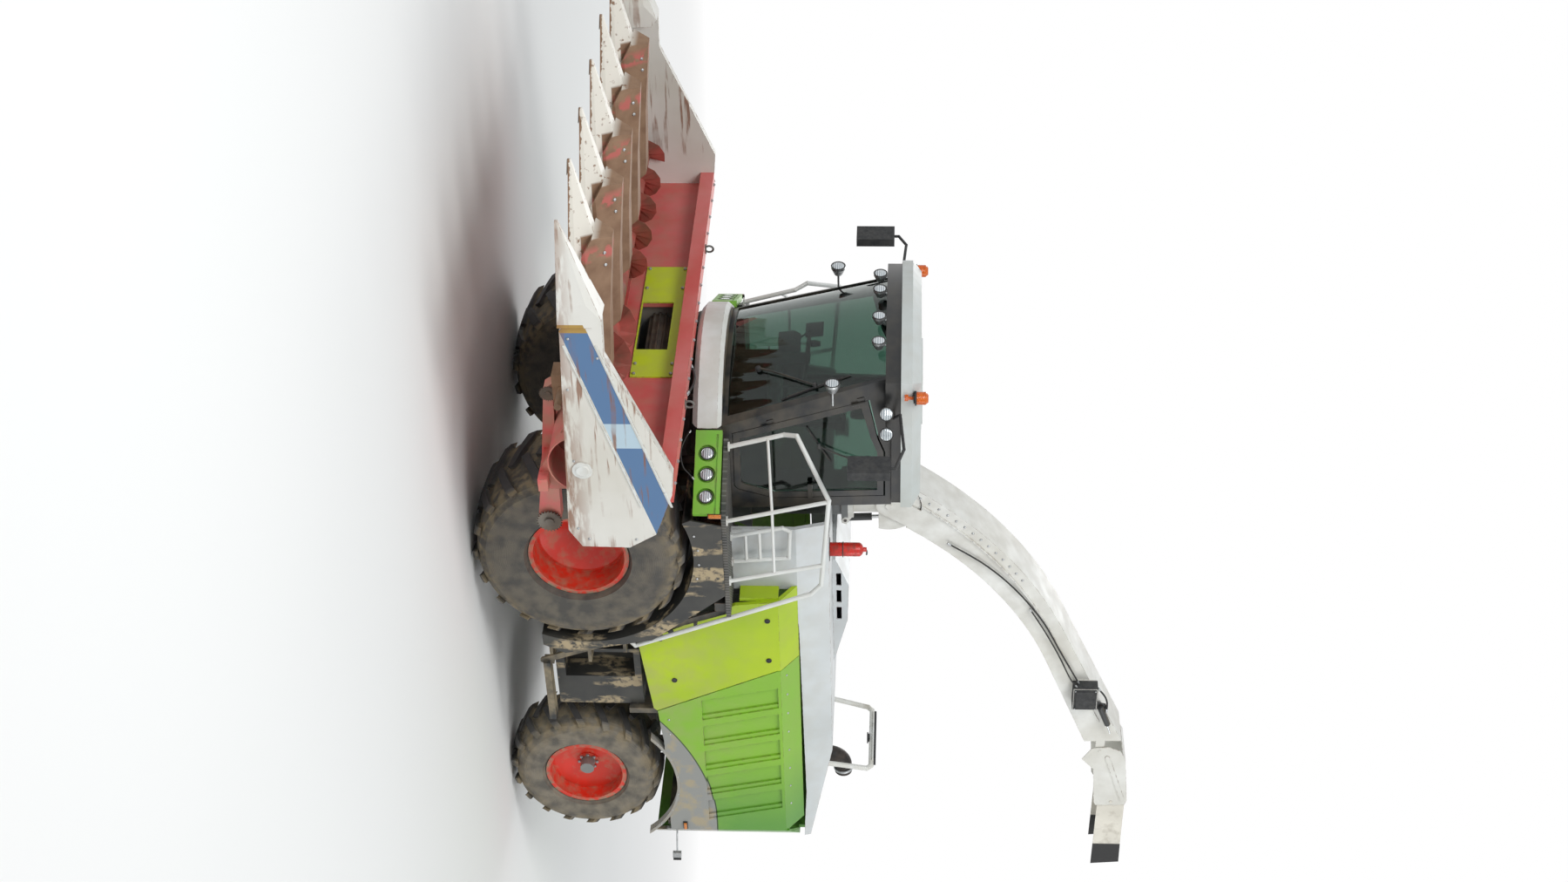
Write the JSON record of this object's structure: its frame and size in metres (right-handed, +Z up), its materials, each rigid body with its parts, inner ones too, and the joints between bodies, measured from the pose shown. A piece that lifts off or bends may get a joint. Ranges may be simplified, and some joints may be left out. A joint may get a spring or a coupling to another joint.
{
  "type": "forage harvester",
  "caption": "Self-propelled forage harvester with a row-crop header in front, a glazed cab, louvred body, steered rear wheels and a long curved spout",
  "frame": {"origin": "middle of the bounding box on the ground", "axes": "+X forward to the header, +Y to the driver's left, +Z up"},
  "size_m": [9.27, 4.82, 5.95],
  "materials": {
    "frame_black": "satin",
    "body_white": "satin",
    "roof_grey": "satin",
    "lime_green": "satin",
    "leaf_green": "satin",
    "black_plastic": "matte",
    "bumper_white": "satin",
    "rail_white": "satin",
    "spout_white": "satin",
    "rim_red": "satin",
    "tyre_black": "matte",
    "axle_grey": "satin",
    "cast_grey": "matte",
    "faded_red": "matte",
    "row_brown": "matte",
    "adapter_green": "satin",
    "beacon_orange": "gloss",
    "tinted_glass": "gloss",
    "seat_fabric": "matte",
    "rod_chrome": "polished",
    "lamp_body": "gloss",
    "exhaust_steel": "satin"
  },
  "bodies": {
    "chassis": {"main_frame": "frame_black", "front_axle": "axle_grey", "rear_axle_beam": "frame_black", "engine_block": "frame_black", "crop_tower": "cast_grey", "engine_hood": "body_white", "side_walls": "body_white", "louvre_panels": "leaf_green", "service_panels": "lime_green", "rear_panel": "body_white", "rear_fenders": "black_plastic", "front_fenders": "black_plastic", "side_lockers": "black_plastic", "walkways": "black_plastic", "ladder": "black_plastic", "railings": "rail_white", "lamp_panels": "leaf_green", "work_lamps": "lamp_body", "beacons": "beacon_orange", "cab_base": "frame_black", "front_bumper": "bumper_white", "cab_frame": "black_plastic", "cab_roof": "roof_grey", "roof_visor": "black_plastic", "cab_glass": "tinted_glass", "operator_seat": "seat_fabric", "steering_console": "black_plastic", "mirrors": "black_plastic", "spout_rest": "rail_white", "exhaust_stack": "exhaust_steel"},
    "front_wheel_left": {"front_rim_left": "rim_red", "front_tyre_left": "tyre_black"},
    "front_wheel_right": {"front_rim_right": "rim_red", "front_tyre_right": "tyre_black"},
    "knuckle_left": {"steering_knuckle_left": "axle_grey"},
    "knuckle_right": {"steering_knuckle_right": "axle_grey"},
    "rear_wheel_left": {"rear_rim_left": "rim_red", "rear_tyre_left": "tyre_black"},
    "rear_wheel_right": {"rear_rim_right": "rim_red", "rear_tyre_right": "tyre_black"},
    "steering_tie_rod": {"tie_rod": "axle_grey"},
    "header": {"feeder_housing": "frame_black", "header_frame": "faded_red", "adapter_plate": "adapter_green", "header_end_panels": "body_white", "row_units": "row_brown", "crop_dividers": "row_brown"},
    "auger": {"header_auger": "faded_red"},
    "upper_roll": {"feed_roll_upper": "row_brown"},
    "lower_roll": {"feed_roll_lower": "row_brown"},
    "header_cylinder_barrels": {"lift_barrels": "frame_black"},
    "header_cylinder_rods": {"lift_rods": "rod_chrome"},
    "turret": {"spout_turret": "body_white"},
    "spout": {"crop_spout": "spout_white"},
    "spout_barrel": {"spout_cylinder_barrel": "frame_black"},
    "spout_rod": {"spout_cylinder_rod": "rod_chrome"},
    "deflector": {"spout_deflector": "spout_white"},
    "end_flap": {"spout_end_flap": "spout_white"},
    "door": {"cab_door": "black_plastic", "door_glass": "tinted_glass"}
  },
  "joints": [
    {"name": "front_left_spin", "type": "hinge", "parent": "chassis", "child": "front_wheel_left", "pos_m": [0.735, 1.25, 0.925], "axis": [0, 1, 0], "continuous": true},
    {"name": "front_right_spin", "type": "hinge", "parent": "chassis", "child": "front_wheel_right", "pos_m": [0.735, -1.25, 0.925], "axis": [0, 1, 0], "continuous": true},
    {"name": "steer_left", "type": "hinge", "parent": "chassis", "child": "knuckle_left", "pos_m": [-2.265, 0.76, 0.72], "axis": [0, 0, 1], "range_deg": [-35, 35]},
    {"name": "steer_right", "type": "hinge", "parent": "chassis", "child": "knuckle_right", "pos_m": [-2.265, -0.76, 0.72], "axis": [0, 0, 1], "range_deg": [-35, 35]},
    {"name": "rear_left_spin", "type": "hinge", "parent": "knuckle_left", "child": "rear_wheel_left", "pos_m": [-2.265, 1.05, 0.72], "axis": [0, 1, 0], "continuous": true},
    {"name": "rear_right_spin", "type": "hinge", "parent": "knuckle_right", "child": "rear_wheel_right", "pos_m": [-2.265, -1.05, 0.72], "axis": [0, 1, 0], "continuous": true},
    {"name": "tie_rod_swing", "type": "hinge", "parent": "knuckle_left", "child": "steering_tie_rod", "pos_m": [-2.485, 0.76, 0.63], "axis": [0, 0, 1], "range_deg": [-35, 35]},
    {"name": "header_lift", "type": "hinge", "parent": "chassis", "child": "header", "pos_m": [1.095, 0, 1.3], "axis": [0, 1, 0], "range_deg": [0, 18]},
    {"name": "auger_spin", "type": "hinge", "parent": "header", "child": "auger", "pos_m": [2.345, 0, 1.18], "axis": [0, 1, 0], "continuous": true},
    {"name": "upper_roll_spin", "type": "hinge", "parent": "header", "child": "upper_roll", "pos_m": [1.775, 0, 1.52], "axis": [0, 1, 0], "continuous": true},
    {"name": "lower_roll_spin", "type": "hinge", "parent": "header", "child": "lower_roll", "pos_m": [1.775, 0, 1.24], "axis": [0, 1, 0], "continuous": true},
    {"name": "header_barrels_swing", "type": "hinge", "parent": "chassis", "child": "header_cylinder_barrels", "pos_m": [0.935, 0, 0.62], "axis": [0, 1, 0], "range_deg": [0, 8.7]},
    {"name": "header_rods_slide", "type": "slide", "parent": "header_cylinder_barrels", "child": "header_cylinder_rods", "axis": [0.892, 0, 0.452], "range_m": [-0.179, 0]},
    {"name": "spout_slew", "type": "hinge", "parent": "chassis", "child": "turret", "pos_m": [0.155, 0, 3.2], "axis": [0, 0, 1], "range_deg": [-100, 100]},
    {"name": "spout_lift", "type": "hinge", "parent": "turret", "child": "spout", "pos_m": [0.155, 0, 3.55], "axis": [0, 1, 0], "range_deg": [-35, 0]},
    {"name": "spout_barrel_swing", "type": "hinge", "parent": "turret", "child": "spout_barrel", "pos_m": [-0.15, 0, 3.15], "axis": [0, 1, 0], "range_deg": [0, 1.1]},
    {"name": "spout_rod_slide", "type": "slide", "parent": "spout_barrel", "child": "spout_rod", "axis": [0.0526, 0, 0.9986], "range_m": [-0.179, 0]},
    {"name": "deflector_tilt", "type": "hinge", "parent": "spout", "child": "deflector", "pos_m": [-2.965, 0, 5.64], "axis": [0, 1, 0], "range_deg": [-30, 0]},
    {"name": "end_flap_tilt", "type": "hinge", "parent": "deflector", "child": "end_flap", "pos_m": [-3.695, 0, 5.79], "axis": [0, 1, 0], "range_deg": [-30, 0]},
    {"name": "door_swing", "type": "hinge", "parent": "chassis", "child": "door", "pos_m": [1.5183, 0.8849, 2.2287], "axis": [0.2494, -0.0719, 0.9657], "range_deg": [-38, 0]}
  ],
  "couplings": [
    {"joint": "steer_right", "follows": "steer_left", "ratio": 1},
    {"joint": "tie_rod_swing", "follows": "steer_left", "ratio": -1},
    {"joint": "header_barrels_swing", "follows": "header_lift", "ratio": 0.4581},
    {"joint": "header_rods_slide", "follows": "header_lift", "m_per_rad": -0.5577},
    {"joint": "spout_barrel_swing", "follows": "spout_lift", "ratio": -0.0228},
    {"joint": "spout_rod_slide", "follows": "spout_lift", "m_per_rad": 0.2863},
    {"joint": "end_flap_tilt", "follows": "deflector_tilt", "ratio": 1}
  ]
}
